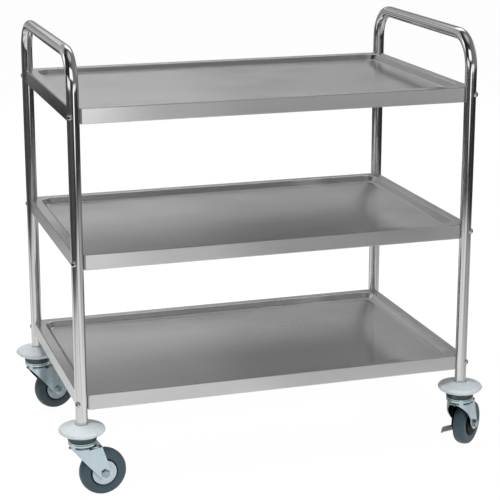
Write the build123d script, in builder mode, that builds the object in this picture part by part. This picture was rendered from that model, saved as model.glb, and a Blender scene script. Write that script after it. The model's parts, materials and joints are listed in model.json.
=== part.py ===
from build123d import *

import os
from math import atan2, cos, degrees, radians, sin, sqrt

os.makedirs("parts", exist_ok=True)

# Three-tier serving trolley. Millimetres, +Z up, +X along the long side, +Y to the back.
# The origin lies on the floor, midway between the four swivel axes.

# End frames, each one round tube bent into an upturned U: post, handle, post
post_spacing_x = 845.0
post_spacing_y = 515.0
tube_od = 25.0
tube_wall = 1.2
bend_radius = 65.0
handle_rise = 117.0  # top of the handle above the rim of the top tray

# Trays, pressed from stainless sheet
sheet = 1.0
tier_pitch = 296.0
skirt_height = 32.0
skirt_bend = 2.5
lip_width = 9.0
rim_width = 22.0
corner_leg = 29.0  # the corners are folded at 45 degrees to seat a post
pocket_depth = 13.0
pocket_wall_run = 8.0
pocket_corner_radius = 26.0
rim_bend = 4.0
floor_bend = 5.0
tray_above_post_end = 46.0  # lowest skirt edge above the cut end of the posts

# Corner fasteners: one button-head bolt through each post into each tray
bolt_d = 6.0
bolt_head_d = 10.5
bolt_head_height = 2.8
bolt_dome = 0.75
bolt_socket_flats = 4.0
bolt_socket_depth = 2.0
bolt_tail = 2.0
nut_flats = 10.0
nut_height = 5.0
nut_flange_d = 13.0
nut_flange_height = 1.2
saddle_d = 12.5
saddle_rise = 0.9

# Castors
wheel_d = 100.0
trail = 42.0
tyre_width = 28.0
tyre_bore_r = 29.0
tread_shoulder_drop = 3.0
tread_width = 24.0
tyre_wall_drop = 9.0
tyre_bead_inset = 1.5
hub_rim_wall = 3.5
hub_rim_inset = 3.0
hub_web = 8.0
hub_boss_r = 12.0
guard_thickness = 1.6
guard_groove = 2.5
guard_edge = 0.6
wheel_side_gap = 4.0
bush_d = 14.0
axle_d = 10.0
axle_head_flats = 16.0
axle_head_height = 5.5
axle_nut_height = 6.5
axle_tail = 2.0

# Fork, pressed from plate
fork_plate = 2.5
crown_plate = 3.0
crown_r = 27.0
crown_above_wheel = 11.0
crown_back = 36.0
crown_skirt = 3.0
crown_bend = 4.0
cheek_lobe_r = 13.0
cheek_bend = 8.0  # where the cheeks begin to draw in, behind the swivel axis
cheek_start = 28.0  # where they run parallel
race_neck = 2.2
race_flange = 8.5
race_flange_r = 29.5
lug_angle = 212.0
lug_width = 10.0
lug_thickness = 6.0
lug_drop = 5.0

# Swivel head
ball_d = 6.0
ball_count = 16
ball_pitch_r = 20.0
race_width = 10.0
cap_r = 30.0
cap_plate = 4.7
cap_skirt_wall = 3.0
cap_skirt_drop = 5.1
king_bolt_d = 10.0
king_head_d = 19.0
king_head_height = 5.0
king_nut_flats = 17.0
king_nut_height = 10.0
king_tail = 3.0
king_bolt_headroom = 6.0  # free height left below the lowest corner bolt

# Bumper, moulded disc between castor and post
bumper_d = 98.0
bumper_floor = 7.0
bumper_height = 24.0
bumper_edge = 12.0
bumper_collar_wall = 3.5
bumper_shoulder = 5.0

# Side brake on the castors of the right-hand end
lever_plate = 2.0
lever_side_gap = 0.5
brake_pivot_forward = 6.0
brake_pivot_up = 36.0
brake_pin_d = 6.0
brake_pin_head_d = 10.0
brake_pin_head = 1.4
brake_pin_inner_head = 0.8
shoe_angle = 120.0
shoe_thickness = 3.0
shoe_length = 14.0
shoe_gap = 2.6
shoe_past_middle = 8.0
elbow_forward = 32.0
elbow_up = 41.0
pedal_forward = 35.0
pedal_down = 4.0
pedal_width = 14.0
pedal_reach = 28.0
pedal_slope = 24.0
pedal_tilt = 38.0  # the pedal's front edge lies lower, to meet a shoe
pedal_tip = 9.0  # its tip is bent further down
pedal_tip_slope = 60.0
pedal_corner_r = 5.0
lever_arm_r = 7.0

# Clearances
seat_gap = 0.05  # thread, stem and tangent seats that don't move
running_gap = 0.05  # radial, between a shaft and the bore that turns on it
slide_gap = 0.3  # between faces that move past each other
push_gap = 0.1  # radial, post in its bumper and plug in its tube
level_slack = 0.01  # when edges are picked by their height

# How the trolley stood in its picture: the direction in which each castor trails, from +X
castor_heading = {
    "front_left": 6.0,
    "front_right": 41.0,
    "back_left": 16.0,
    "back_right": 28.0,
}
braked_castors = ("front_right", "back_right")

# Heights, stacked up from the floor
axle_z = wheel_d / 2
crown_bottom = wheel_d + crown_above_wheel
crown_top = crown_bottom + crown_plate
race_flange_bottom = crown_top + race_neck
race_flange_top = race_flange_bottom + race_flange
ball_z = race_flange_top + slide_gap + ball_d / 2
cap_bottom = ball_z + ball_d / 2 + slide_gap
cap_top = cap_bottom + cap_plate
post_bottom = cap_top + bumper_floor
bumper_top = cap_top + bumper_height
bottom_rim = post_bottom + tray_above_post_end + skirt_height
middle_rim = bottom_rim + tier_pitch
top_rim = middle_rim + tier_pitch
handle_top = top_rim + handle_rise
tray_rims = {"bottom": bottom_rim, "middle": middle_rim, "top": top_rim}
bolt_heights = [rim - skirt_height / 2 for rim in tray_rims.values()]

# Places shared by pieces that meet
tube_r = tube_od / 2
tube_bore_r = tube_r - tube_wall
half_x = post_spacing_x / 2
half_y = post_spacing_y / 2
handle_axis_z = handle_top - tube_r
seat_r = tube_r + seat_gap  # from a post's axis to the tray corner that rests on it
tray_overhang = corner_leg / 2 - seat_r / sqrt(2)
tray_length = post_spacing_x + 2 * tray_overhang
tray_width = post_spacing_y + 2 * tray_overhang
bolt_hole_r = bolt_d / 2 + seat_gap
corners = {
    "front_left": (-half_x, -half_y),
    "front_right": (half_x, -half_y),
    "back_left": (-half_x, half_y),
    "back_right": (half_x, half_y),
}
cheek_inner = tyre_width / 2 + wheel_side_gap
cheek_outer = cheek_inner + fork_plate
wheel_axis = Axis((trail, 0, axle_z), (0, 1, 0))
brake_pivot = (trail - brake_pivot_forward, axle_z + brake_pivot_up)
lever_outer = cheek_inner - lever_side_gap
lever_inner = lever_outer - lever_plate


def save(name, piece):
    piece.part.label = name
    export_step(piece.part, f"parts/{name}.step")


def corner_plane(corner, height):
    # A plane on a post's axis that faces outwards along the diagonal of the tray corner
    x, y = corner
    outward = Vector(x / half_x, y / half_y, 0)
    return Plane(origin=(x, y, height), x_dir=(0, 0, 1), z_dir=outward)


def corner_planes():
    return [corner_plane(corner, height) for corner in corners.values() for height in bolt_heights]


def place(name, piece, *places):
    # Copies a piece that was made about the origin to where it belongs
    with BuildPart() as placed:
        with Locations(*places):
            add(piece.part)
    save(name, placed)


def edges_inside(piece, height, length, width):
    # The edges of one loop at a height, within a rectangle about the trolley's axis
    level = piece.edges().filter_by_position(Axis.Z, height - level_slack, height + level_slack)
    return level.filter_by(
        lambda edge: abs(edge.center().X) < length / 2 and abs(edge.center().Y) < width / 2
    )


# End frames
def end_frame(x):
    with BuildPart() as frame:
        with BuildLine(Plane.YZ.offset(x)):
            FilletPolyline(
                (-half_y, post_bottom),
                (-half_y, handle_axis_z),
                (half_y, handle_axis_z),
                (half_y, post_bottom),
                radius=bend_radius,
            )
        with BuildSketch(Plane.XY.offset(post_bottom)):
            with Locations((x, -half_y)):
                Circle(tube_r)
                Circle(tube_bore_r, mode=Mode.SUBTRACT)
        sweep()
        for plane in corner_planes():
            if plane.origin.X * x > 0:
                with BuildSketch(plane):
                    Circle(bolt_hole_r)
                extrude(amount=tube_od, both=True, mode=Mode.SUBTRACT)
    return frame


save("left_end_frame", end_frame(-half_x))
save("right_end_frame", end_frame(half_x))


# Tray: a folded box open below, with a shallow pocket pressed into its top. Made with its rim at zero.
wall_slope = degrees(atan2(pocket_wall_run, pocket_depth))
slant_sheet = sheet / cos(radians(wall_slope))
mouth_length = tray_length - 2 * rim_width
mouth_width = tray_width - 2 * rim_width
rim_middle = (mouth_length + rim_width, mouth_width + rim_width)

with BuildPart() as tray:
    with BuildSketch(Plane.XY.offset(-skirt_height)) as outline:
        Rectangle(tray_length, tray_width)
        chamfer(outline.vertices(), corner_leg)
    extrude(amount=skirt_height)
    fillet(tray.faces().sort_by(Axis.Z)[-1].edges(), skirt_bend)
    with BuildSketch(Plane.XY.offset(sheet - skirt_height)):
        offset(outline.sketch.faces(), -sheet, kind=Kind.INTERSECTION)
    extrude(amount=skirt_height - 2 * sheet, mode=Mode.SUBTRACT)
    fillet(edges_inside(tray, -sheet, tray_length, tray_width), skirt_bend - sheet)
    with BuildSketch(Plane.XY.offset(-skirt_height)):
        offset(outline.sketch.faces(), -lip_width, kind=Kind.INTERSECTION)
    extrude(amount=sheet, mode=Mode.SUBTRACT)
    with BuildSketch(Plane.XY):
        RectangleRounded(
            mouth_length + 2 * slant_sheet,
            mouth_width + 2 * slant_sheet,
            pocket_corner_radius + slant_sheet,
        )
    extrude(amount=-(pocket_depth + sheet), taper=wall_slope)
    with BuildSketch(Plane.XY):
        RectangleRounded(mouth_length, mouth_width, pocket_corner_radius)
    extrude(amount=-pocket_depth, taper=wall_slope, mode=Mode.SUBTRACT)
    fillet(edges_inside(tray, 0, *rim_middle), rim_bend)
    fillet(edges_inside(tray, -sheet, *rim_middle), rim_bend - sheet)
    fillet(edges_inside(tray, -pocket_depth, *rim_middle), floor_bend)
    fillet(edges_inside(tray, -pocket_depth - sheet, *rim_middle), floor_bend + sheet)
    for corner in corners.values():
        with BuildSketch(corner_plane(corner, -skirt_height / 2)):
            Circle(bolt_hole_r)
        extrude(amount=-(seat_r + lip_width), mode=Mode.SUBTRACT)

for tier, rim in tray_rims.items():
    place(f"{tier}_tray", tray, Location((0, 0, rim)))

# Corner fasteners, made about a post's axis with +Z pointing out of the corner
head_seat = tube_r + saddle_rise
nut_seat = -(seat_r + sheet)
bolt_end = nut_seat - nut_height - bolt_tail

with BuildPart() as bolt:
    with BuildSketch(Plane.XY.offset(bolt_end)):
        Circle(bolt_d / 2)
    extrude(amount=head_seat - bolt_end)
    with BuildSketch(Plane.XY.offset(head_seat)):
        Circle(bolt_head_d / 2)
    extrude(amount=bolt_head_height)
    fillet(bolt.edges().sort_by(Axis.Z)[-1], bolt_head_height * bolt_dome)
    with BuildSketch(Plane.XY.offset(head_seat + bolt_head_height)):
        RegularPolygon(bolt_socket_flats / 2, 6, major_radius=False)
    extrude(amount=-bolt_socket_depth, mode=Mode.SUBTRACT)

with BuildPart() as saddle:
    with BuildSketch():
        Circle(saddle_d / 2)
        Circle(bolt_hole_r, mode=Mode.SUBTRACT)
    extrude(amount=head_seat)
    with BuildSketch(Plane.YZ):
        Circle(seat_r)
    extrude(amount=tube_od, both=True, mode=Mode.SUBTRACT)

with BuildPart() as nut:
    with BuildSketch(Plane.XY.offset(nut_seat)):
        Circle(nut_flange_d / 2)
    extrude(amount=-nut_flange_height)
    with BuildSketch(Plane.XY.offset(nut_seat)):
        RegularPolygon(nut_flats / 2, 6, major_radius=False)
    extrude(amount=-nut_height)
    with BuildSketch(Plane.XY.offset(nut_seat)):
        Circle(bolt_hole_r)
    extrude(amount=-nut_height, mode=Mode.SUBTRACT)

place("corner_bolts", bolt, *corner_planes())
place("saddle_washers", saddle, *corner_planes())
place("flange_nuts", nut, *corner_planes())

# Castor pieces are made about the swivel axis, standing on the floor and trailing towards +X.
# Bumper, a moulded disc whose collar takes the foot of the post
bumper_r = bumper_d / 2
edge_low = cap_top + bumper_shoulder
edge_high = edge_low + bumper_edge
edge_run = bumper_edge / 2

with BuildPart() as bumper:
    with BuildSketch(Plane.XZ):
        with BuildLine():
            Line((king_bolt_d / 2 + push_gap, cap_top), (cap_r, cap_top))
            Line((cap_r, cap_top), (bumper_r - edge_run, edge_low))
            ThreePointArc(
                (bumper_r - edge_run, edge_low),
                (bumper_r, (edge_low + edge_high) / 2),
                (bumper_r - edge_run, edge_high),
            )
            Polyline(
                (bumper_r - edge_run, edge_high),
                (tube_r + bumper_collar_wall, bumper_top),
                (tube_r + push_gap, bumper_top),
                (tube_r + push_gap, post_bottom),
                (king_bolt_d / 2 + push_gap, post_bottom),
                (king_bolt_d / 2 + push_gap, cap_top),
            )
        make_face()
    revolve(axis=Axis.Z)

# Plug that the king bolt squeezes tight inside the post
king_end = bolt_heights[0] - bolt_d / 2 - king_bolt_headroom
plug_top = king_end - king_tail - king_nut_height

with BuildPart() as plug:
    with BuildSketch(Plane.XY.offset(post_bottom)):
        Circle(tube_bore_r - push_gap)
        Circle(king_bolt_d / 2 + push_gap, mode=Mode.SUBTRACT)
    extrude(amount=plug_top - post_bottom)

# King bolt, the fixed axis of the swivel, with the nut on top of its plug
king_head_top = crown_bottom - slide_gap

with BuildPart() as king_bolt:
    with BuildSketch(Plane.XY.offset(king_head_top)):
        Circle(king_head_d / 2)
    extrude(amount=-king_head_height)
    fillet(king_bolt.edges().sort_by(Axis.Z)[0], king_head_height / 2)
    with BuildSketch(Plane.XY.offset(king_head_top)):
        Circle(king_bolt_d / 2)
    extrude(amount=king_end - king_head_top)
    with BuildSketch(Plane.XY.offset(plug_top)):
        RegularPolygon(king_nut_flats / 2, 6, major_radius=False)
        Circle(king_bolt_d / 2 + seat_gap, mode=Mode.SUBTRACT)
    extrude(amount=king_nut_height)

# Swivel cap, the fixed upper race with its dust skirt
with BuildPart() as swivel_cap:
    with BuildSketch(Plane.XY.offset(cap_bottom)):
        Circle(cap_r)
        Circle(king_bolt_d / 2 + push_gap, mode=Mode.SUBTRACT)
    extrude(amount=cap_plate)
    with BuildSketch(Plane.XY.offset(cap_bottom)):
        Circle(cap_r)
        Circle(cap_r - cap_skirt_wall, mode=Mode.SUBTRACT)
    extrude(amount=-cap_skirt_drop)

with BuildPart() as balls:
    with Locations((0, 0, ball_z)):
        with PolarLocations(ball_pitch_r, ball_count):
            Sphere(ball_d / 2)

# Fork: a pressed channel, round in front, open behind, tapering to the axle, with the lower race on top
fork_foot = axle_z - cheek_lobe_r
fork_back = trail + cheek_lobe_r
lug_plane = Plane(
    origin=(0, 0, crown_top - lug_drop),
    x_dir=(cos(radians(lug_angle)), sin(radians(lug_angle)), 0),
    z_dir=(0, 0, 1),
)


def channel(front_r, half_width, back):
    # Plan of the fork: a half circle in front and two cheeks that draw in to run parallel
    with BuildSketch(Plane.XY.offset(fork_foot)) as plan:
        with BuildLine():
            Polyline((0, front_r), (cheek_bend, front_r), (cheek_start, half_width), (back, half_width))
            Line((back, half_width), (back, -half_width))
            Polyline((back, -half_width), (cheek_start, -half_width), (cheek_bend, -front_r), (0, -front_r))
            ThreePointArc((0, -front_r), (-front_r, 0), (0, front_r))
        make_face()
    return plan.sketch


def fork(braked):
    with BuildPart() as piece:
        add(channel(crown_r, cheek_outer, fork_back))
        extrude(amount=crown_top - fork_foot)
        fillet(piece.faces().sort_by(Axis.Z)[-1].edges(), crown_bend)
        add(channel(crown_r - fork_plate, cheek_inner, fork_back + fork_plate))
        extrude(amount=crown_bottom - fork_foot, mode=Mode.SUBTRACT)
        with BuildSketch(Plane.XZ):
            with Locations((trail, axle_z)):
                Circle(cheek_lobe_r)
            with Locations(((crown_back - crown_r) / 2, crown_top - crown_skirt / 2)):
                Rectangle(crown_back + crown_r, crown_skirt)
            make_hull()
        extrude(amount=2 * crown_r, both=True, mode=Mode.INTERSECT)
        with BuildSketch(Plane.XY.offset(crown_top)):
            Circle(ball_pitch_r + race_width / 2)
        extrude(amount=race_flange_top - crown_top)
        with BuildSketch(Plane.XY.offset(race_flange_bottom)):
            Circle(race_flange_r)
        extrude(amount=race_flange)
        with BuildSketch(lug_plane):
            with Locations((race_flange_r - lug_thickness / 2, 0)):
                Rectangle(lug_thickness, lug_width)
        extrude(amount=race_flange_top - crown_top + lug_drop)
        with BuildSketch(Plane.XY.offset(crown_bottom)):
            Circle(king_bolt_d / 2 + running_gap)
        extrude(amount=race_flange_top - crown_bottom, mode=Mode.SUBTRACT)
        with BuildSketch(Plane.XZ):
            with Locations((trail, axle_z)):
                Circle(axle_d / 2 + seat_gap)
        extrude(amount=2 * crown_r, both=True, mode=Mode.SUBTRACT)
        if braked:
            with BuildSketch(Plane.XZ.offset(-cheek_inner)):
                with Locations(brake_pivot):
                    Circle(brake_pin_d / 2 + seat_gap)
            extrude(amount=cheek_inner - crown_r, mode=Mode.SUBTRACT)
    return piece


plain_fork = fork(braked=False)
braked_fork = fork(braked=True)

# Axle bolt with its nut, and the steel bush that keeps the cheeks apart
with BuildPart() as axle:
    with BuildSketch(Plane.XZ.offset(cheek_outer)):
        with Locations((trail, axle_z)):
            RegularPolygon(axle_head_flats / 2, 6, major_radius=False)
    extrude(amount=axle_head_height)
    with BuildSketch(Plane.XZ.offset(cheek_outer)):
        with Locations((trail, axle_z)):
            Circle(axle_d / 2)
    extrude(amount=-(2 * cheek_outer + axle_nut_height + axle_tail))
    with BuildSketch(Plane.XZ.offset(-cheek_outer)):
        with Locations((trail, axle_z)):
            RegularPolygon(axle_head_flats / 2, 6, major_radius=False)
            Circle(axle_d / 2 + seat_gap, mode=Mode.SUBTRACT)
    extrude(amount=-axle_nut_height)

with BuildPart() as bush:
    with BuildSketch(Plane.XZ):
        with Locations((trail, axle_z)):
            Circle(bush_d / 2)
            Circle(axle_d / 2 + seat_gap, mode=Mode.SUBTRACT)
    extrude(amount=cheek_inner, both=True)

# Wheel: a moulded hub on the bush, a rubber tyre on the hub and a pressed guard over each side.
# Sections are drawn in the plane through the axle: distance from the axle, then along it.
axle_plane = Plane(origin=(trail, 0, axle_z), x_dir=(1, 0, 0), z_dir=(0, 0, 1))
wheel_r = wheel_d / 2
tyre_half = tyre_width / 2
hub_half = tyre_half - hub_rim_inset
boss_half = tyre_half - guard_edge
hub_bore_r = bush_d / 2 + running_gap
guard_r = tyre_bore_r - guard_groove

with BuildPart() as hub:
    with BuildSketch(axle_plane):
        with Locations(((hub_bore_r + hub_boss_r) / 2, 0)):
            Rectangle(hub_boss_r - hub_bore_r, 2 * boss_half)
        with Locations(((hub_boss_r + tyre_bore_r) / 2, 0)):
            Rectangle(tyre_bore_r - hub_boss_r, hub_web)
        with Locations((tyre_bore_r - hub_rim_wall / 2, 0)):
            Rectangle(hub_rim_wall, 2 * hub_half)
    revolve(axis=wheel_axis)

with BuildPart() as guards:
    with BuildSketch(axle_plane):
        with Locations(((hub_bore_r + push_gap + guard_r) / 2, 0)):
            with GridLocations(1, 2 * boss_half + guard_thickness, 1, 2):
                Rectangle(guard_r - hub_bore_r - push_gap, guard_thickness)
    revolve(axis=wheel_axis)

with BuildPart() as tyre:
    with BuildSketch(axle_plane):
        with BuildLine():
            Polyline(
                (wheel_r - tread_shoulder_drop, -tread_width / 2),
                (wheel_r - tyre_wall_drop, -tyre_half),
                (tyre_bore_r, tyre_bead_inset - tyre_half),
                (tyre_bore_r, tyre_half - tyre_bead_inset),
                (wheel_r - tyre_wall_drop, tyre_half),
                (wheel_r - tread_shoulder_drop, tread_width / 2),
            )
            ThreePointArc(
                (wheel_r - tread_shoulder_drop, tread_width / 2),
                (wheel_r, 0),
                (wheel_r - tread_shoulder_drop, -tread_width / 2),
            )
        make_face()
    revolve(axis=wheel_axis)

# Side brake: a rocking lever between tyre and cheek, with a shoe over the tread and a foot pedal.
# Its plan runs from the pivot to an elbow in front, then down to the pedal.
shoe_r = wheel_r + shoe_gap + shoe_thickness / 2
shoe_x = trail + shoe_r * cos(radians(shoe_angle))
shoe_z = axle_z + shoe_r * sin(radians(shoe_angle))
elbow = (trail - elbow_forward, axle_z + elbow_up)
pedal_root = (trail - pedal_forward, axle_z - pedal_down)
shoe_plane = Plane(
    origin=(shoe_x, lever_outer, shoe_z),
    x_dir=(cos(radians(shoe_angle)), 0, sin(radians(shoe_angle))),
    z_dir=(0, -1, 0),
)


def pedal_plane(origin, slope):
    # The pedal's upper face: outwards and down by its slope, and tilted forwards
    down, tilt = radians(slope), radians(pedal_tilt)
    return Plane(
        origin=origin,
        x_dir=(cos(tilt), sin(down) * sin(tilt), cos(down) * sin(tilt)),
        z_dir=(-sin(tilt), sin(down) * cos(tilt), cos(down) * cos(tilt)),
    )


pedal_face = pedal_plane((pedal_root[0], lever_inner, pedal_root[1]), pedal_slope)
tip_face = pedal_plane((pedal_face * Location((0, pedal_reach, 0))).position, pedal_tip_slope)

with BuildPart() as pedal:
    with BuildSketch(pedal_face):
        with Locations((0, pedal_reach / 2)):
            Rectangle(pedal_width, pedal_reach)
    extrude(amount=-lever_plate)
    with BuildSketch(tip_face) as tip:
        with Locations((0, pedal_tip / 2)):
            Rectangle(pedal_width, pedal_tip)
        fillet(tip.vertices().sort_by(Axis.Y)[-2:], pedal_corner_r)
    extrude(amount=-lever_plate)
    split(bisect_by=Plane.XZ.offset(-lever_inner), keep=Keep.BOTTOM)

with BuildPart() as brake_lever:
    for arm in ((brake_pivot, elbow), (elbow, pedal_root)):
        with BuildSketch(Plane.XZ.offset(-lever_inner)):
            with Locations(*arm):
                Circle(lever_arm_r)
            make_hull()
        extrude(amount=-lever_plate)
    with BuildSketch(shoe_plane):
        Rectangle(shoe_thickness, shoe_length)
    extrude(amount=lever_outer + shoe_past_middle)
    add(pedal)
    with BuildSketch(Plane.XZ.offset(-lever_inner)):
        with Locations(brake_pivot):
            Circle(brake_pin_d / 2 + running_gap)
    extrude(amount=-lever_plate, mode=Mode.SUBTRACT)

with BuildPart() as brake_pin:
    with BuildSketch(Plane.XZ.offset(slide_gap - lever_inner)):
        with Locations(brake_pivot):
            Circle(brake_pin_head_d / 2)
    extrude(amount=brake_pin_inner_head)
    with BuildSketch(Plane.XZ.offset(slide_gap - lever_inner)):
        with Locations(brake_pivot):
            Circle(brake_pin_d / 2)
    extrude(amount=lever_inner - slide_gap - cheek_outer)
    with BuildSketch(Plane.XZ.offset(-cheek_outer)):
        with Locations(brake_pivot):
            Circle(brake_pin_head_d / 2)
    extrude(amount=-brake_pin_head)

# The four castors in their places
for corner, (x, y) in corners.items():
    spot = Location((x, y, 0), (0, 0, castor_heading[corner]))
    braked = corner in braked_castors
    place(f"{corner}_bumper", bumper, spot)
    place(f"{corner}_post_plug", plug, spot)
    place(f"{corner}_king_bolt", king_bolt, spot)
    place(f"{corner}_swivel_cap", swivel_cap, spot)
    place(f"{corner}_bearing_balls", balls, spot)
    place(f"{corner}_fork", braked_fork if braked else plain_fork, spot)
    place(f"{corner}_axle_bolt", axle, spot)
    place(f"{corner}_axle_bush", bush, spot)
    place(f"{corner}_wheel_hub", hub, spot)
    place(f"{corner}_thread_guards", guards, spot)
    place(f"{corner}_tyre", tyre, spot)
    if braked:
        place(f"{corner}_brake_lever", brake_lever, spot)
        place(f"{corner}_brake_pin", brake_pin, spot)
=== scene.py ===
# %% [markdown]
# A serving trolley in stainless steel: three pressed trays between two bent-tube end frames, on swivel
# castors. The working model, with every piece at its real size, is already made. This lesson loads it as
# a fixed frame, gives each surface its finish, and models anew the pieces whose looks need a finer mesh
# than the solids have.

# %% The frame and its size
import bpy
import bmesh
import json
from math import acos, atan2, cos, hypot, pi, radians, sin
from mathutils import Matrix, Vector


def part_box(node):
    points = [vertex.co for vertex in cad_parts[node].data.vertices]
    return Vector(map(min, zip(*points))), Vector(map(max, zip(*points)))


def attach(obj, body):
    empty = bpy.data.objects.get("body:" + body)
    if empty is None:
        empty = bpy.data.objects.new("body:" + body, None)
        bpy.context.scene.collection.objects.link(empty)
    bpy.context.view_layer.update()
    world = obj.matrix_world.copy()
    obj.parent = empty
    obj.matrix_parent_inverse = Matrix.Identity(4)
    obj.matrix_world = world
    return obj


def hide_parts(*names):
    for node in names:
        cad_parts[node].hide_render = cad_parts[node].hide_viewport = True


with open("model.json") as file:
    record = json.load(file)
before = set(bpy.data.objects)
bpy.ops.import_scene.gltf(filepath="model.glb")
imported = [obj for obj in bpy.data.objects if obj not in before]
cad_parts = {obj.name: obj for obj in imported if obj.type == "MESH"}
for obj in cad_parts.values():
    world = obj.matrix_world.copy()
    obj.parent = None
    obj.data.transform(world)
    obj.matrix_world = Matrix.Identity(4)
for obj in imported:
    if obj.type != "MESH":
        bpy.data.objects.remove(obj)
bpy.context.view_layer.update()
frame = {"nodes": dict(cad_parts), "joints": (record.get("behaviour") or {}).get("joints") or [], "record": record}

mm = 0.001
nodes = frame["nodes"]
record = frame["record"]
slot_of = {part["node"]: part["material_slot"] for part in record["subparts"]}
body_of = {node: body for body, group in record["behaviour"]["bodies"].items() for node in group}

# %% [markdown]
# Finishes are built from nodes. One small function adds a node, sets it and links it, and one turns the
# hex colours of a paint chart, which are sRGB, into the linear values that a shader works with. Patterns
# are placed on Object coordinates in millimetres, so their sizes can be written as they are measured on
# the real thing. Most values of a noise lie in the middle of its range, so only that middle is spread
# over what a finish needs.

# %% Helpers for finishes
noise_middle = {"From Min": 0.3, "From Max": 0.7}


def colour(code):
    channels = [int(code[i:i + 2], 16) / 255 for i in (1, 3, 5)]
    linear = [c / 12.92 if c <= 0.04045 else ((c + 0.055) / 1.055) ** 2.4 for c in channels]
    return (*linear, 1.0)


def add_node(tree, kind, inputs=None, **settings):
    # Adds one node. An input given another node, or one of its outputs, is linked. Other values are set.
    node = tree.nodes.new(kind)
    for name, value in settings.items():
        setattr(node, name, value)
    for name, value in (inputs or {}).items():
        if isinstance(value, bpy.types.Node):
            value = next(socket for socket in value.outputs if socket.enabled)
        if isinstance(value, bpy.types.NodeSocket):
            tree.links.new(value, node.inputs[name])
        else:
            node.inputs[name].default_value = value
    return node


def new_finish(name):
    # An empty material, and Object coordinates measured in millimetres
    material = bpy.data.materials.new(name)
    material.use_nodes = True
    tree = material.node_tree
    tree.nodes.clear()
    place = add_node(tree, "ShaderNodeTexCoord").outputs["Object"]
    in_mm = add_node(tree, "ShaderNodeVectorMath", {0: place, 1: (1 / mm,) * 3}, operation="MULTIPLY")
    return material, tree, in_mm


def grain(tree, place, spacing, detail=3.0):
    # Noise whose features are as far apart as spacing says, in millimetres along X, Y and Z
    stretched = add_node(tree, "ShaderNodeMapping", {"Vector": place, "Scale": [1 / s for s in spacing]})
    return add_node(tree, "ShaderNodeTexNoise", {"Vector": stretched, "Scale": 1.0, "Detail": detail})

# %% [markdown]
# The tubes are stainless steel, ground and then buffed to a mirror. Buffing leaves the surface very
# smooth but never quite straight: reflections run along a tube as streaks with slightly wavering edges.
# So the roughness is low, and a shallow bump with features some centimetres long bends the streaks a
# little.

# %% Mirror-polished stainless tube
def polished_stainless():
    material, tree, place = new_finish("mirror_polished_stainless")
    haze = grain(tree, place, (9, 9, 30))
    rough = add_node(tree, "ShaderNodeMapRange", {"Value": haze, **noise_middle,
                                                  "To Min": 0.1, "To Max": 0.14})
    wave = grain(tree, place, (25, 60, 90), detail=1.0)
    bump = add_node(tree, "ShaderNodeBump", {"Height": wave, "Strength": 0.12, "Distance": 1 * mm})
    shader = add_node(tree, "ShaderNodeBsdfPrincipled", {
        "Base Color": colour("#DADBDB"), "Metallic": 1.0, "Roughness": rough, "Normal": bump})
    add_node(tree, "ShaderNodeOutputMaterial", {"Surface": shader})
    return material


tube_finish = polished_stainless()
print(tube_finish.name, "nodes", len(tube_finish.node_tree.nodes))

# %% [markdown]
# The trays are cold-rolled stainless sheet with a satin finish. Fine belt grinding along the sheet blurs
# what it reflects, much more across its lines than along them, so a post shows in a tray floor as one
# long soft streak. The lines run along X, and where a side is folded down they run down with it. They are
# about a third of a millimetre apart. That is finer than the picture can show, so they are drawn four
# times coarser.

# %% Satin stainless sheet
def satin_stainless():
    material, tree, place = new_finish("satin_stainless_sheet")
    lines = grain(tree, place, (180, 1.3, 1.3))
    cloud = grain(tree, place, (140, 90, 60), detail=1.0)
    fine = add_node(tree, "ShaderNodeMapRange", {"Value": lines, **noise_middle,
                                                 "To Min": 0, "To Max": 0.01})
    broad = add_node(tree, "ShaderNodeMapRange", {"Value": cloud, **noise_middle,
                                                  "To Min": 0.21, "To Max": 0.25})
    rough = add_node(tree, "ShaderNodeMath", {0: fine, 1: broad}, operation="ADD")
    bump = add_node(tree, "ShaderNodeBump", {"Height": lines, "Strength": 0.004, "Distance": 0.2 * mm})
    along = add_node(tree, "ShaderNodeCombineXYZ", {"X": 1.0, "Z": 0.02})
    shader = add_node(tree, "ShaderNodeBsdfPrincipled", {
        "Base Color": colour("#D2D2D2"), "Metallic": 1.0, "Roughness": rough, "Anisotropic": 1.0,
        "Anisotropic Rotation": 0.25, "Tangent": along, "Normal": bump})
    add_node(tree, "ShaderNodeOutputMaterial", {"Surface": shader})
    return material


sheet_finish = satin_stainless()
print(sheet_finish.name, "nodes", len(sheet_finish.node_tree.nodes))

# %% [markdown]
# The other finishes are metals and plastics that differ only in colour, gloss and grain, so one function
# makes them all. Each has two shades that a noise mixes, a range of roughness, and a fine bump of the
# grain's own size.

# %% Grained metal, plastic and rubber
cloud_size = 12  # clouds are this many times as large as the grain


def grained(name, shades, metallic, roughness, spacing, depth, gloss=0.5):
    material, tree, place = new_finish(name)
    fine = grain(tree, place, (spacing,) * 3)
    broad = grain(tree, place, (spacing * cloud_size,) * 3, detail=2.0)
    share = add_node(tree, "ShaderNodeMapRange", {"Value": broad, **noise_middle, "To Min": 0, "To Max": 1})
    shade = add_node(tree, "ShaderNodeMix", {"Factor": share, "A": colour(shades[0]), "B": colour(shades[1])},
                     data_type="RGBA")
    rough = add_node(tree, "ShaderNodeMapRange", {"Value": broad, **noise_middle, "To Min": roughness[0],
                                                  "To Max": roughness[1]})
    bump = add_node(tree, "ShaderNodeBump", {"Height": fine, "Strength": 0.5, "Distance": depth * mm})
    shader = add_node(tree, "ShaderNodeBsdfPrincipled", {
        "Base Color": shade, "Metallic": metallic, "Roughness": rough, "Specular IOR Level": gloss,
        "Normal": bump})
    add_node(tree, "ShaderNodeOutputMaterial", {"Surface": shader})
    return material

# %% [markdown]
# Each material slot of the model now gets its finish: two shades, how metallic it is, its range of
# roughness, the size of its grain and the depth of its bump, both in millimetres. The solids that stay in
# sight carry these finishes as they are, and the pieces modelled below take them over.

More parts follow.
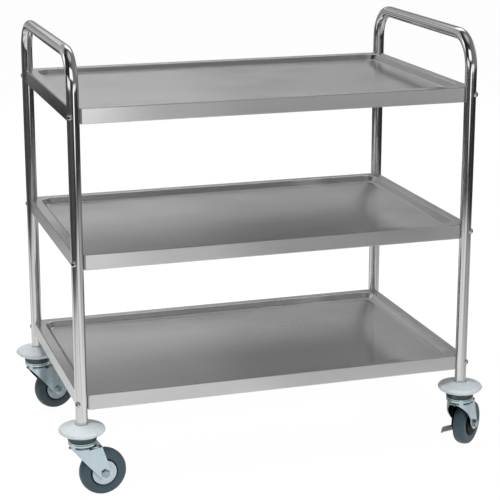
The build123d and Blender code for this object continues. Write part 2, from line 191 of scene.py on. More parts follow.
# %% Finishes of the slots
finishes = {
    "polished_tube": tube_finish,
    "tray_steel": sheet_finish,
    # Turned and tumbled stainless: bright, with a soft edge to what it reflects
    "stainless_fastener": grained("tumbled_stainless", ("#C9C9C9", "#D6D6D6"), 1.0, (0.14, 0.22), 0.8, 0.02),
    # Injection-moulded polyamide: pale, even and slightly waxy
    "bumper": grained("moulded_polyamide", ("#DEE8EC", "#E6EEF1"), 0.0, (0.32, 0.42), 1.2, 0.02),
    # Moulded rubber inside the posts: black and dull
    "expander_rubber": grained("black_rubber", ("#0E0E0E", "#161616"), 0.0, (0.6, 0.75), 0.8, 0.05),
    # Bright passivated zinc plate on pressed steel: bluish, softly mirrored, faintly clouded
    "zinc_plate": grained("bright_zinc_plate", ("#C0D2D9", "#C6D6DC"), 1.0, (0.2, 0.28), 0.8, 0.01),
    # Dark chromated steel of the swivel caps: reflects like metal, but little of it. The race's neck and
    # groove take it as painted shade
    "dark_race": grained("dark_steel_and_painted_shade", ("#4A5352", "#5C6564"), 1.0, (0.1, 0.16), 1.0, 0.02),
    # Ground and lapped bearing steel
    "bearing_steel": grained("lapped_bearing_steel", ("#C8C8C8", "#D2D2D2"), 1.0, (0.06, 0.1), 0.5, 0.01),
    # Glass-filled polyamide hub: black, half dull. The thread guards of the braked castors take it as painted
    # shade
    "hub_plastic": grained("black_polyamide_and_painted_shade", ("#0C0E10", "#15181A"), 0.0, (0.45, 0.6), 0.7, 0.04, 0.15),
    # Moulded polypropylene disc: pale blue-grey with a low gloss
    "guard_plastic": grained("moulded_polypropylene", ("#D0DDE2", "#DCE7EB"), 0.0, (0.3, 0.4), 0.9, 0.02),
    # Non-marking grey rubber, moulded: dull, with a faint bloom
    "grey_tyre": grained("grey_rubber", ("#3E525B", "#475B64"), 0.0, (0.4, 0.52), 0.9, 0.04),
}
for node, slot in slot_of.items():
    mesh = nodes[node].data
    mesh.materials.clear()
    mesh.materials.append(finishes[slot])
print("finishes", len(finishes), "on", len(slot_of), "nodes")

# %% [markdown]
# Some pieces, or some faces of a piece, look different from the rest of their slot, such as a worn pedal
# or the painted shade in a key socket. Their finishes are given by hand where the piece is made.

# %% Finishes of single pieces and faces
# The inside of a fork gets a dark, dull zinc. Its dark colour is painted shade
fork_inside_painted_shade = grained("zinc_painted_shade_inside", ("#454C50", "#555C60"), 1.0, (0.4, 0.5), 1.0, 0.02)
# A plated bolt is smoother than a pressing, so it mirrors with more contrast. Its darker colour is painted
# shade
bolt_zinc_painted_shade = grained("zinc_bolt_with_painted_shade", ("#98A6AC", "#A6B2B7"), 1.0, (0.08, 0.14), 0.8, 0.01)
# The brake lever is made black, as painted shade for the dark gap between cheek and tyre, with a slight
# oily sheen
lever_painted_shade = grained("lever_black_painted_shade", ("#15191A", "#202526"), 1.0, (0.35, 0.45), 0.8, 0.02)
# On a pedal that feet rub against, the dark coat is worn thin
worn_chromate = grained("worn_dark_chromate", ("#8E9996", "#AAB3B0"), 0.7, (0.25, 0.35), 1.0, 0.02)
# The inside of a key socket is painted black, as shade
socket_shade_finish = grained("painted_shade_in_socket", ("#101010", "#1C1C1C"), 1.0, (0.45, 0.6), 0.5, 0.02)
for finish in (fork_inside_painted_shade, bolt_zinc_painted_shade, lever_painted_shade, worn_chromate, socket_shade_finish):
    print(finish.name)

# %% [markdown]
# New pieces are shaped as by hand: a primitive, then edit mode. An operator acts on all that is selected,
# so every piece begins with nothing selected. Faces and edges are picked by where they are: an element is
# picked if all its corners pass a test on their place in millimetres.

# %% Selecting by place
slack = 0.01


def begin():
    if bpy.context.mode != "OBJECT":
        bpy.ops.object.mode_set(mode="OBJECT")
    bpy.ops.object.select_all(action="DESELECT")


def take(*pieces):
    # Selects these pieces alone, and makes the first one active
    begin()
    for piece in pieces:
        piece.select_set(True)
    bpy.context.view_layer.objects.active = pieces[0]


def enter(name):
    # Names the new primitive, puts its place and size into its mesh, and goes into edit mode
    bpy.context.object.name = name
    bpy.ops.object.transform_apply(location=True, rotation=True, scale=True)
    bpy.ops.object.mode_set(mode="EDIT")


def pick(kind, test, fold=None, open_only=False):
    # Picks what passes the test. Of edges it can also ask for a sharper angle than fold, or for an open edge.
    bpy.ops.mesh.select_mode(type=kind)
    bpy.ops.mesh.select_all(action="DESELECT")
    data = bpy.context.object.data
    mesh = bmesh.from_edit_mesh(data)
    group = {"VERT": mesh.verts, "EDGE": mesh.edges, "FACE": mesh.faces}[kind]
    for element in group:
        corners = [element] if kind == "VERT" else element.verts
        chosen = all(test(corner.co / mm) for corner in corners)
        if chosen and fold is not None:
            chosen = element.calc_face_angle(0) > fold
        if chosen and open_only:
            chosen = element.is_boundary
        element.select_set(chosen)
    mesh.select_flush_mode()
    bmesh.update_edit_mesh(data)


def close_up():
    # Merges doubled vertices, turns all faces outwards and leaves edit mode
    bpy.ops.mesh.select_all(action="SELECT")
    bpy.ops.mesh.remove_doubles(threshold=slack * mm)
    bpy.ops.mesh.normals_make_consistent(inside=False)
    bpy.ops.object.mode_set(mode="OBJECT")
    return bpy.context.object

# %% [markdown]
# Rounded edges, sheet thickness and cut-outs come from modifiers, which are applied at once so that the
# mesh is final. Shading is smooth across gentle curves and stays sharp at real edges.

# %% Modifiers and shading
def modify(obj, kind, **settings):
    bpy.context.view_layer.objects.active = obj
    modifier = obj.modifiers.new(kind, kind)
    for name, value in settings.items():
        setattr(modifier, name, value)
    bpy.ops.object.modifier_apply(modifier=modifier.name)


def round_edges(obj, radius, segments=3, sharper_than=30):
    modify(obj, "BEVEL", width=radius * mm, segments=segments, limit_method="ANGLE",
           angle_limit=radians(sharper_than))


def smooth(obj, sharper_than=40):
    # Shades curved faces as one, and lets large flat faces keep their own normals
    take(obj)
    bpy.ops.object.shade_smooth_by_angle(angle=radians(sharper_than))
    modify(obj, "WEIGHTED_NORMAL", keep_sharp=True, weight=50)

# %% [markdown]
# Every new piece stands for one node of the working model: it moves with the same body and, unless it
# has finishes of its own, takes the finish of that node's slot. The node is only hidden, because its
# solids still do the touching when the model moves.

# %% Standing for a node
def stand_for(obj, node):
    # The piece rides on its node's body, hides that node, and takes its finish
    if not obj.data.materials:
        obj.data.materials.append(finishes[slot_of[node]])
    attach(obj, body_of[node])
    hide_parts(node)


def box_mm(node):
    return [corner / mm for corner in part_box(node)]

# %% [markdown]
# Each end frame is one tube, bent round a former into post, handle bar and post. A real bend begins and
# ends gently, which shows in the way reflections run into it. So a bend is made of several stretches,
# each with its own radius, and this works out the centre and angle of each one.

# %% Stretches of a bend
bend_radius = 65.0
ease = 6.0  # length of each gentle stretch
gentle = [(bend_radius / share, ease * share / bend_radius) for share in (1 / 8, 3 / 8, 5 / 8, 7 / 8)]
full = [(bend_radius, pi / 2 - 2 * sum(angle for radius, angle in gentle))]
stretches, inwards, onwards, turned_by = [], 0.0, 0.0, 0.0
for radius, angle in gentle + full + gentle[::-1]:
    centre = (inwards + radius * cos(turned_by), onwards - radius * sin(turned_by))
    turned_by += angle
    inwards, onwards = centre[0] - radius * cos(turned_by), centre[1] + radius * sin(turned_by)
    stretches.append((centre, angle))
bend_reach = onwards
print("a bend takes up", round(bend_reach, 2), "mm each way")

# %% [markdown]
# The tube is modelled in the way it is bent: a circle is extruded up the post, spun round the bend,
# extruded along the bar, and so on. A curve with a bevel would do too, but spinning gives each stretch as
# many steps as its angle needs. The skin that this leaves is given the tube's wall, inwards.

# %% End frames
tube_wall = 1.2
tube_sides = 64
turn_step = radians(4)


def run(x, y, z):
    bpy.ops.mesh.extrude_edges_move(TRANSFORM_OT_translate={"value": (x * mm, y * mm, z * mm)})


def bend(start, along, inward):
    for (inwards, onwards), angle in stretches:
        centre = Vector(start) + inwards * Vector(inward) + onwards * Vector(along)
        steps = max(2, round(angle / turn_step))
        bpy.ops.mesh.spin(steps=steps, angle=angle, center=centre * mm, axis=(1, 0, 0))


def end_frame(side):
    low, high = box_mm(f"{side}_end_frame")
    tube_r = (high.x - low.x) / 2
    post_length = high.z - tube_r - bend_reach - low.z
    bar_length = high.y - low.y - 2 * (tube_r + bend_reach)
    x = (low.x + high.x) / 2
    y = low.y + tube_r
    begin()
    bpy.ops.mesh.primitive_circle_add(vertices=tube_sides, radius=tube_r * mm,
                                      location=(x * mm, y * mm, low.z * mm))
    enter(f"{side}_bent_tube")
    bpy.ops.mesh.select_all(action="SELECT")
    run(0, 0, post_length)
    bend((x, y, low.z + post_length), along=(0, 0, 1), inward=(0, 1, 0))
    run(0, bar_length, 0)
    bend((x, y + bend_reach + bar_length, high.z - tube_r), along=(0, 1, 0), inward=(0, 0, -1))
    run(0, 0, -post_length)
    tube = close_up()
    modify(tube, "SOLIDIFY", thickness=tube_wall * mm, offset=-1, use_even_offset=True)
    smooth(tube, sharper_than=60)
    stand_for(tube, f"{side}_end_frame")
    return tube


for side in ("left", "right"):
    tube = end_frame(side)
    print(tube.name, "faces", len(tube.data.polygons))

# %% [markdown]
# A tray is pressed from one sheet: a flat rim round a sunk floor, with the outer edge folded down into a
# skirt and its foot turned in. The corners are hollowed to hug the posts. All three trays share these
# sizes, in millimetres.

# %% Sizes of a tray
sheet = 1.0
rim_width = 22.0
pocket_depth = 13.0
pocket_run = 8.0
pocket_corner = 26.0
hollow_reach = 18.7  # from where the two sides would meet to where a hollow begins
hollow_profile = 0.048  # makes its middle touch the post
hollow_steps = 5
hollow_edge = 4.0
edge_steps = 3
lip_width = 9.0
land = 6.0  # flat rings kept along the folds, so that their bends come out even
outer_land = 2.5
edge_fold, rim_fold, floor_fold = 2.0, 2.6, 3.6
fold_steps = 5
print("rim", rim_width, "pocket", pocket_depth, "sheet", sheet)

# %% [markdown]
# The pocket starts as a plane with rounded corners, inset once flat and once downwards. The rim's outer
# edge is a second plane, and bevels of its corners, with a hollow profile, make room for the posts. The
# gap between the two is bridged, which works because both have as many edges. Every fold then gets its
# own radius, and the skin its thickness.

# %% Tray pressing
def rectangle(length, width):
    bpy.ops.mesh.primitive_plane_add(size=1, location=(0, 0, 0))
    if bpy.context.mode == "OBJECT":
        enter("tray_pressing")
    bpy.ops.transform.resize(value=(length * mm, width * mm, 1), center_override=(0, 0, 0))


def corner_bevel(size, steps, profile=0.5):
    bpy.ops.mesh.bevel(affect="VERTICES", offset_type="OFFSET", offset=size * mm, segments=steps,
                       profile=profile)


def soften(reach, steps=fold_steps):
    bpy.ops.mesh.bevel(affect="EDGES", offset_type="OFFSET", offset=reach * mm, segments=steps)


def tray_pressing(length, width, skirt, post, post_r):
    half_length, half_width = length / 2, width / 2

    def at_edge(p):
        # Within two millimetres of the outline, straight or hollow
        in_hollow = post_r - hypot(abs(p.x) - post.x, abs(p.y) - post.y)
        return max(abs(p.x) - half_length, abs(p.y) - half_width, in_hollow) > -0.75 * outer_land

    def at_side(p):
        return at_edge(p) and (abs(p.x) > half_length - slack or abs(p.y) > half_width - slack)

    def on_pocket_edge(p):
        return abs(p.z) < slack and abs(p.x) < half_length - land and abs(p.y) < half_width - land

    begin()
    rectangle(length - 2 * rim_width + 2 * land, width - 2 * rim_width + 2 * land)
    pick("VERT", lambda p: True)
    corner_bevel(pocket_corner + land, hollow_steps + 2 * edge_steps)
    pick("FACE", lambda p: True)
    bpy.ops.mesh.inset(thickness=land * mm, depth=0)
    bpy.ops.mesh.inset(thickness=pocket_run * mm, depth=-pocket_depth * mm)
    bpy.ops.mesh.select_all(action="DESELECT")
    rectangle(length, width)
    pick("VERT", at_edge)
    corner_bevel(hollow_reach, hollow_steps, hollow_profile)
    pick("VERT", at_side)
    corner_bevel(hollow_edge, edge_steps)
    pick("FACE", at_edge)
    bpy.ops.mesh.inset(thickness=outer_land * mm, depth=0)
    bpy.ops.mesh.delete(type="FACE")
    pick("EDGE", at_edge)
    run(0, 0, -skirt)
    run(0, 0, 0)
    turn_in = ((half_length - lip_width) / half_length, (half_width - lip_width) / half_width, 1)
    bpy.ops.transform.resize(value=turn_in, center_override=(0, 0, 0))
    pick("EDGE", lambda p: abs(p.z) < slack, open_only=True)
    bpy.ops.mesh.bridge_edge_loops()
    bpy.ops.mesh.select_all(action="SELECT")
    bpy.ops.mesh.remove_doubles(threshold=slack * mm)
    bpy.ops.mesh.normals_make_consistent(inside=False)
    fold = radians(20)
    for height in (0, -skirt):
        pick("EDGE", lambda p: abs(p.z - height) < slack and at_edge(p), fold)
        soften(edge_fold)
    pick("EDGE", on_pocket_edge, fold)
    soften(rim_fold)
    pick("EDGE", lambda p: abs(p.z + pocket_depth) < slack, fold)
    soften(floor_fold)
    tray = close_up()
    modify(tray, "SOLIDIFY", thickness=sheet * mm, offset=-1, use_even_offset=True)
    smooth(tray, sharper_than=35)
    return tray


low, high = box_mm("right_end_frame")
tube_r = (high.x - low.x) / 2
post_axis = Vector((low.x + tube_r, high.y - tube_r))
low, high = box_mm("top_tray")
pressing = tray_pressing(high.x - low.x, high.y - low.y, high.z - low.z, post_axis, tube_r)
print(pressing.name, "faces", len(pressing.data.polygons))

# %% [markdown]
# The three trays are the same pressing at three heights. Each copy gets its own mesh, and its height goes
# into the mesh, so that the object itself stays at the origin.

# %% Trays in their places
tiers = ("bottom", "middle", "top")


def settle(obj, place):
    # Moves a piece, and puts the move into its mesh
    take(obj)
    obj.matrix_world = place
    bpy.ops.object.transform_apply(location=True, rotation=True, scale=True)


def copy_to(master, name, place):
    take(master)
    bpy.ops.object.duplicate(linked=False)
    copy = bpy.context.object
    copy.name = name
    settle(copy, place)
    return copy


for tier in tiers:
    rim = box_mm(f"{tier}_tray")[1].z
    tray = copy_to(pressing, f"{tier}_pressed_tray", Matrix.Translation((0, 0, rim * mm)))
    stand_for(tray, f"{tier}_tray")
    print(tray.name, "rim at", round(rim, 1))
bpy.data.objects.remove(pressing)

# %% [markdown]
# Castor pieces are modelled once, standing on the floor with the swivel axis on Z and the wheel trailing
# towards +X, and copied to the four corners. How far each castor is turned follows from where its wheel's
# axle lies.

# %% Places of the castors
corner_names = ("front_left", "front_right", "back_left", "back_right")
braked_corners = ("front_right", "back_right")
joint_at = {joint["name"]: Vector(joint["pos_m"]) for joint in frame["joints"]}


def castor_place(corner):
    axis = joint_at[f"{corner}_swivel"]
    trailing = joint_at[f"{corner}_roll"] - axis
    return Matrix.Translation((axis.x, axis.y, 0)) @ Matrix.Rotation(atan2(trailing.y, trailing.x), 4, "Z")


def to_castors(master, look, node, corners=corner_names):
    for corner in corners:
        piece = copy_to(master, f"{corner}_{look}", castor_place(corner))
        stand_for(piece, f"{corner}_{node}")
    print(look, "faces", len(master.data.polygons), "copies", len(corners))
    bpy.data.objects.remove(master)


first_roll = joint_at["front_left_roll"] - joint_at["front_left_swivel"]
trail = hypot(first_roll.x, first_roll.y) / mm
axle_z = joint_at["front_left_roll"].z / mm
print("trail", round(trail, 2), "axle height", round(axle_z, 2))

# %% [markdown]
# Round pieces are raised ring by ring, as on a lathe: a circle is extruded to the next height and scaled
# to the next radius. A list of radius and height says it all. When the last ring meets the first, the
# piece is closed.

# %% Turned pieces
point_r = 0.01  # a ring this small is merged into one point


def turned(name, rings, sides=96):
    radius, height = rings[0]
    begin()
    bpy.ops.mesh.primitive_circle_add(vertices=sides, radius=radius * mm, location=(0, 0, height * mm))
    enter(name)
    bpy.ops.mesh.select_all(action="SELECT")
    for next_radius, next_height in rings[1:]:
        run(0, 0, next_height - height)
        growth = next_radius / radius
        bpy.ops.transform.resize(value=(growth, growth, 1), center_override=(0, 0, 0))
        radius, height = next_radius, next_height
    return close_up()


def onto_axle(obj):
    # Lays a piece that was turned about Z over onto the wheel's axle, its upper end towards -Y
    settle(obj, Matrix.Translation((trail * mm, 0, axle_z * mm)) @ Matrix.Rotation(pi / 2, 4, "X"))

# %% [markdown]
# Some pieces carry two finishes: a bolt has painted shade in its socket, a race has painted shade on its
# neck, and a brake lever is worn at its pedal. The faces of the second finish are picked by their place.

# %% Two finishes on one piece
def two_finishes(obj, main, other, test):
    # Gives a piece its main finish, and another one to the faces that pass the test
    obj.data.materials.append(main)
    obj.data.materials.append(other)
    take(obj)
    bpy.ops.object.mode_set(mode="EDIT")
    pick("FACE", test)
    obj.active_material_index = 1
    bpy.ops.object.material_slot_assign()
    bpy.ops.object.mode_set(mode="OBJECT")

# %% [markdown]
# A button-head bolt holds each tray corner to its post. Its head is a low dome, and its key socket is a
# hexagon cut out of the dome by a boolean. The socket is painted black inside, as shade, which makes the
# head look like a bright ring.

# %% Corner bolt
head_r, head_seat, head_height, head_dome = 5.25, 13.4, 2.8, 2.1
bolt_end, bolt_shank_r = -20.0, 2.9
socket_flats, socket_depth = 4.6, 1.9
head_top = head_seat + head_height
round_top = [(head_r - head_dome * (1 - cos(a)), head_top - head_dome * (1 - sin(a)))
             for a in (0, pi / 8, pi / 4, pi * 3 / 8, pi / 2)]
shank_rings = [(point_r, bolt_end), (bolt_shank_r, bolt_end), (bolt_shank_r, head_seat), (head_r, head_seat)]
bolt = turned("button_head_bolts", shank_rings + round_top + [(point_r, head_top)], sides=48)
socket_r = socket_flats / 2 / cos(pi / 6)
begin()
bpy.ops.mesh.primitive_cylinder_add(vertices=6, radius=socket_r * mm, depth=2 * socket_depth * mm,
                                    location=(0, 0, head_top * mm))
key = bpy.context.object
modify(bolt, "BOOLEAN", operation="DIFFERENCE", object=key, solver="EXACT")
bpy.data.objects.remove(key)
# The socket's inside takes painted shade
two_finishes(bolt, finishes["stainless_fastener"], socket_shade_finish,
             lambda p: p.z > head_top - socket_depth - slack and hypot(p.x, p.y) < socket_r + slack)
bpy.ops.object.mode_set(mode="EDIT")
bolt = close_up()
smooth(bolt)
print(bolt.name, "faces", len(bolt.data.polygons))

# %% [markdown]
# A bolt points outwards along the diagonal of its corner, at half the height of the skirt. The twelve
# copies are joined into one piece, as they are one node of the model.

# %% Corner bolts in their places
def join(*pieces):
    # Makes one piece of several. It is the first of them that stays.
    take(*pieces)
    bpy.ops.object.join()


copies = []
for corner in corner_names:
    post = joint_at[f"{corner}_swivel"]
    outward = Vector((post.x / abs(post.x), post.y / abs(post.y), 0)).normalized()
    upward = Vector((0, 0, 1))
    turn = Matrix((upward, outward.cross(upward), outward)).transposed().to_4x4()
    for tier in tiers:
        low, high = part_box(f"{tier}_tray")
        spot = Matrix.Translation((post.x, post.y, (low.z + high.z) / 2))
        copies.append(copy_to(bolt, f"{corner}_{tier}_bolt", spot @ turn))
bpy.data.objects.remove(bolt)
join(*copies)
copies[0].name = "button_head_bolts"
stand_for(copies[0], "corner_bolts")
print("corner bolts", len(copies), "faces", len(copies[0].data.polygons))

# %% [markdown]
# The bumpers are moulded discs that keep the trolley off walls. Seen from the side they are a shallow
# cone on a thick rounded edge, with a collar round the foot of the post.

# %% Bumpers
low, high = box_mm("front_left_bumper")
bumper_r = (high.x - low.x) / 2
foot, top = low.z, high.z
collar_r = 12.6  # the post's outside, with a little room
bolt_r = 5.1
post_foot = foot + 7
bumper = turned("bumper", [
    (bolt_r, foot), (30, foot), (38, foot + 2.2), (bumper_r - 4, foot + 6), (bumper_r, foot + 11),
    (bumper_r - 3, foot + 16), (bumper_r - 13, foot + 19.4), (26, foot + 22.4), (16.2, top), (collar_r, top),
    (collar_r, post_foot), (bolt_r, post_foot), (bolt_r, foot),
])
round_edges(bumper, 2.2, segments=4, sharper_than=8)
smooth(bumper)
to_castors(bumper, "moulded_bumper", "bumper")

# %% [markdown]
# Above each fork sits the fixed half of the swivel: a pressed cap whose skirt covers the balls. A shallow
# groove is rolled into it, which catches the light as a thin line.

# %% Swivel caps
low, high = box_mm("front_left_swivel_cap")
cap_r = (high.x - low.x) / 2
foot, top = low.z, high.z
plate_under = top - 4.7
swivel_cap = turned("swivel_cap", [
    (bolt_r, top), (cap_r - 2, top), (cap_r, top - 2), (cap_r, top - 5.4), (cap_r - 0.8, top - 6),
    (cap_r, top - 6.6), (cap_r, foot), (cap_r - 3, foot), (cap_r - 3, plate_under), (bolt_r, plate_under),
    (bolt_r, top),
])
round_edges(swivel_cap, 0.5)
smooth(swivel_cap)
to_castors(swivel_cap, "pressed_swivel_cap", "swivel_cap")

# %% [markdown]
# The tyre is moulded rubber with a rounded tread. Its side wall bulges a little and steps down to a bead
# at the hub. Only one side's rings are written; the other side is their mirror image.

# %% Tyres
side_wall = [(29, 12.5), (31, 12.7), (31.6, 13.4), (36, 13.9), (41, 14), (44.6, 12.8), (46.8, 11.9),
             (48.2, 9.4), (49.4, 5.4)]
tread_middle = [(49.98, 0)]
tyre_rings = side_wall + tread_middle + [(r, -h) for r, h in reversed(side_wall)] + side_wall[:1]
tyre = turned("tyre", tyre_rings, sides=128)
round_edges(tyre, 0.5, segments=2, sharper_than=20)
smooth(tyre, sharper_than=60)
onto_axle(tyre)
to_castors(tyre, "rubber_tyre", "tyre")

# %% [markdown]
# A moulded disc covers each side of the hub and keeps threads off the axle: a pale one on the plain
# castors. On those with a brake it is black, as painted shade. It has a rolled edge and is slightly
# dished. Between it and the tyre the black hub shows as a thin ring.

# %% Thread guards
guard_inner, guard_outer = 13.4, 15.0
guard_rings = [(7.2, guard_inner), (26, guard_inner), (26, guard_outer - 0.6), (25.1, guard_outer),
               (23.1, guard_outer), (22.1, guard_outer - 0.5), (10, guard_outer - 0.5), (9, guard_outer),
               (7.2, guard_outer), (7.2, guard_inner)]
guard = turned("near_guard", guard_rings)
far_guard = turned("far_guard", [(r, -h) for r, h in guard_rings])
join(guard, far_guard)
round_edges(guard, 0.25, segments=2)
smooth(guard)
onto_axle(guard)
# On the braked castors the node's slot gives the black hub finish: painted shade
to_castors(guard, "moulded_thread_guards", "thread_guards")

# %% [markdown]
# The fork is one pressing: a channel that is round in front and open behind, cut away slantwise so that
# two cheeks taper down to a round lobe at the axle. Its outline is cut out by planes, one after the
# other, as a blanking tool would. A plane that touches the lobe is found from the corner that it starts
# at.

# %% Cuts of the fork
crown_top = 114.0
crown_r = 27.0
crown_skirt = 3.0
crown_back = 36.0
cheek_bend = 8.0
cheek_start = 28.0
cheek_half = 20.5
fork_plate = 2.5
lobe_r = 13.0
lobe_cuts = 10
crown_fold, cheek_fold = 3.5, 2.5


def cut(through, facing):
    # Cuts away all that is in front of a plane along Y, given by a point and a direction in X and Z
    bpy.ops.mesh.select_all(action="SELECT")
    bpy.ops.mesh.bisect(plane_co=Vector((through[0], 0, through[1])) * mm,
                        plane_no=(facing[0], 0, facing[1]), clear_outer=True)


def tangent_facing(corner, side):
    # Where a line from a corner to the lobe's round end faces, on the front (1) or the back (-1)
    dx, dz = corner[0] - trail, corner[1] - axle_z
    return atan2(dz, dx) + side * acos(lobe_r / hypot(dx, dz))


print("cheeks", 2 * cheek_half, "apart outside, lobes", 2 * lobe_r, "wide")

# %% [markdown]
# A half circle and two cheek lines make the plan of the fork, which is pulled down into a wall. The cuts
# then shape the cheeks, the top is filled, and both get their bends. The plate's thickness goes inwards,
# and its inner faces take the dark zinc, as painted shade.

# %% Fork pressing
def fork_pressing():
    begin()
    bpy.ops.mesh.primitive_circle_add(vertices=64, radius=crown_r * mm, location=(0, 0, crown_top * mm))
    enter("fork")
    pick("VERT", lambda p: p.x > slack)
    bpy.ops.mesh.delete(type="VERT")
    for y in (-1, 1):
        pick("VERT", lambda p: abs(p.x) < slack and abs(p.y - y * crown_r) < slack)
        for x, half in ((cheek_bend, crown_r), (cheek_start, cheek_half), (trail + lobe_r, cheek_half)):
            here = [v.co / mm for v in bmesh.from_edit_mesh(bpy.context.object.data).verts if v.select][0]
            step = Vector((x - here.x, y * half - here.y, 0)) * mm
            bpy.ops.mesh.extrude_vertices_move(TRANSFORM_OT_translate={"value": step})
    bpy.ops.mesh.select_all(action="SELECT")
    run(0, 0, axle_z - lobe_r - crown_top)
    front = (-crown_r, crown_top - crown_skirt)
    back = (crown_back, crown_top - crown_skirt)
    first, last = tangent_facing(front, 1), tangent_facing(back, -1)
    if last < first:
        last += 2 * pi
    for i in range(lobe_cuts + 1):
        angle = first + (last - first) * i / lobe_cuts
        facing = (cos(angle), sin(angle))
        cut((trail + lobe_r * facing[0], axle_z + lobe_r * facing[1]), facing)
    pick("VERT", lambda p: abs(p.z - crown_top) < slack)
    bpy.ops.mesh.edge_face_add()
    bpy.ops.mesh.select_all(action="SELECT")
    bpy.ops.mesh.normals_make_consistent(inside=False)
    pick("EDGE", lambda p: abs(p.z - crown_top) < slack, radians(20))
    soften(crown_fold)
    pick("EDGE", lambda p: abs(p.x - cheek_bend) < slack or abs(p.x - cheek_start) < slack, radians(8))
    soften(cheek_fold, steps=3)
    piece = close_up()
    # The second finish, on the inner faces, is painted shade
    for finish in (finishes["zinc_plate"], fork_inside_painted_shade):
        piece.data.materials.append(finish)
    modify(piece, "SOLIDIFY", thickness=fork_plate * mm, offset=-1, material_offset=1)
    round_edges(piece, 0.5, segments=2, sharper_than=50)
    return piece


fork = fork_pressing()
print(fork.name, "faces", len(fork.data.polygons))

# %% [markdown]
# On the crown sits the lower race, a turned flange on a short neck, with a groove round it. Neck and groove
# take a dark finish as painted shade. A small lug stands at the flange's edge. Race and lug are made apart
# and joined to the fork, because they turn with it as one.

# %% Race and lug
race_neck, race_flange = 2.2, 8.5
race_r, flange_r = 25.0, 29.5
flange_low = crown_top + race_neck
flange_top = flange_low + race_flange
race = turned("race", [
    (bolt_r, crown_top), (race_r, crown_top), (race_r, flange_low), (flange_r - 1, flange_low),
    (flange_r, flange_low + 1), (flange_r, flange_top - 4), (flange_r - 1.2, flange_top - 3.4),
    (flange_r - 1.2, flange_top - 2.8), (flange_r - 0.2, flange_top - 2.2),
    (flange_r - 0.2, flange_top - 0.8), (flange_r - 1, flange_top), (bolt_r, flange_top),
    (bolt_r, crown_top),
])
# Within this radius the race's faces take painted shade
painted_shade_within = flange_r - 0.9
two_finishes(race, finishes["zinc_plate"], finishes["dark_race"], lambda p: hypot(p.x, p.y) < painted_shade_within)
round_edges(race, 0.3, segments=2)
lug_angle = radians(212)
lug_size = Vector((6, 10, race_neck + race_flange + 5))
lug_out = flange_r - 3
lug_place = Vector((cos(lug_angle) * lug_out, sin(lug_angle) * lug_out, flange_top - lug_size.z / 2))
begin()
bpy.ops.mesh.primitive_cube_add(size=1, location=lug_place * mm, rotation=(0, 0, lug_angle),
                                scale=lug_size * mm)
enter("lug")
lug = close_up()
round_edges(lug, 1.2, segments=4)
lug.data.materials.append(finishes["zinc_plate"])
join(fork, race, lug)
smooth(fork)
to_castors(fork, "pressed_fork", "fork")

# %% [markdown]
# The axle is a hexagon bolt with its nut. A six-sided cylinder is a hexagon already; its outer face is
# pushed in, extruded back and scaled down, which leaves the slanted chamfer that every real bolt head
# has.

# %% Axle bolts
hexagon_flats = 16.0
chamfer, chamfer_share = 0.9, 0.84
head_thick, nut_thick = 5.5, 6.5
axle_r, axle_end_r = 5.0, 4.2


def hexagon(name, start, height, side):
    across = hexagon_flats / 2 / cos(pi / 6)
    halfway = side * (start + height / 2)
    begin()
    bpy.ops.mesh.primitive_cylinder_add(vertices=6, radius=across * mm, depth=height * mm,
                                        location=(0, 0, halfway * mm))
    enter(name)
    end = side * (start + height)
    pick("FACE", lambda p: abs(p.z - end) < slack)
    bpy.ops.transform.translate(value=(0, 0, -side * chamfer * mm))
    bpy.ops.mesh.extrude_region_move(TRANSFORM_OT_translate={"value": (0, 0, side * chamfer * mm)})
    bpy.ops.transform.resize(value=(chamfer_share, chamfer_share, 1), center_override=(0, 0, 0))
    piece = close_up()
    round_edges(piece, 0.25, segments=2)
    return piece


head = hexagon("axle_head", cheek_half, head_thick, 1)
axle_nut = hexagon("axle_nut", cheek_half, nut_thick, -1)
tail = cheek_half + nut_thick + 2
in_head = cheek_half + 1
shank = turned("axle_shank", [(point_r, -tail), (axle_end_r, -tail), (axle_r, -tail + 0.8), (axle_r, in_head),
                              (point_r, in_head)], sides=48)
join(shank, head, axle_nut)
smooth(shank, sharper_than=30)
# The bolt's darker zinc is painted shade
shank.data.materials.append(bolt_zinc_painted_shade)
onto_axle(shank)
to_castors(shank, "hexagon_axle_bolt", "axle_bolt")

# %% [markdown]
# On a braked castor a lever rocks between tyre and cheek: a cranked plate with a shoe over the tread and
# a foot pedal. Each straight stretch is a plate with round ends, so one function makes them all, and
# another lays one between two points.

# %% Plates of the brake lever
lever_inner, lever_plate = 15.5, 2.0
lever_width = 14.0
pivot = (trail - 6, axle_z + 36)
elbow = (trail - 32, axle_z + 41)
pedal_root = (trail - 35, axle_z - 4)
corner_steps = 6


def rounded_plate(name, length, width, thickness, corner, place):
    # A plate centred on its place, long on X, wide on Y, with its four corners rounded
    begin()
    bpy.ops.mesh.primitive_cube_add(size=1, scale=(length * mm, width * mm, thickness * mm))
    enter(name)
    pick("EDGE", lambda p: True)
    mesh = bmesh.from_edit_mesh(bpy.context.object.data)
    for edge in mesh.edges:
        upright = abs(edge.verts[0].co.z - edge.verts[1].co.z) > slack * mm
        edge.select_set(upright)
    bmesh.update_edit_mesh(bpy.context.object.data)
    soften(corner, corner_steps)
    plate = close_up()
    settle(plate, place)
    return plate


def arm(name, start, end):
    # A plate with round ends from one point to another, upright in X and Z, beside the tyre
    dx, dz = end[0] - start[0], end[1] - start[1]
    halfway = Vector(((start[0] + end[0]) / 2, lever_inner + lever_plate / 2, (start[1] + end[1]) / 2)) * mm
    turn = Matrix.Rotation(-atan2(dz, dx), 4, "Y") @ Matrix.Rotation(pi / 2, 4, "X")
    return rounded_plate(name, hypot(dx, dz) + lever_width, lever_width, lever_plate, lever_width / 2 - 0.05,
                         Matrix.Translation(halfway) @ turn)


print("lever from", pivot, "over", elbow, "to", pedal_root)

# %% [markdown]
# The pedal is a plate that leaves the lever outwards, with its tip bent down. It is modelled flat, long
# on X and with its upper face at zero, because folds and corners are easily picked there. Then it is
# sloped outwards, tilted forwards to meet a foot, and cut off level with the lever.

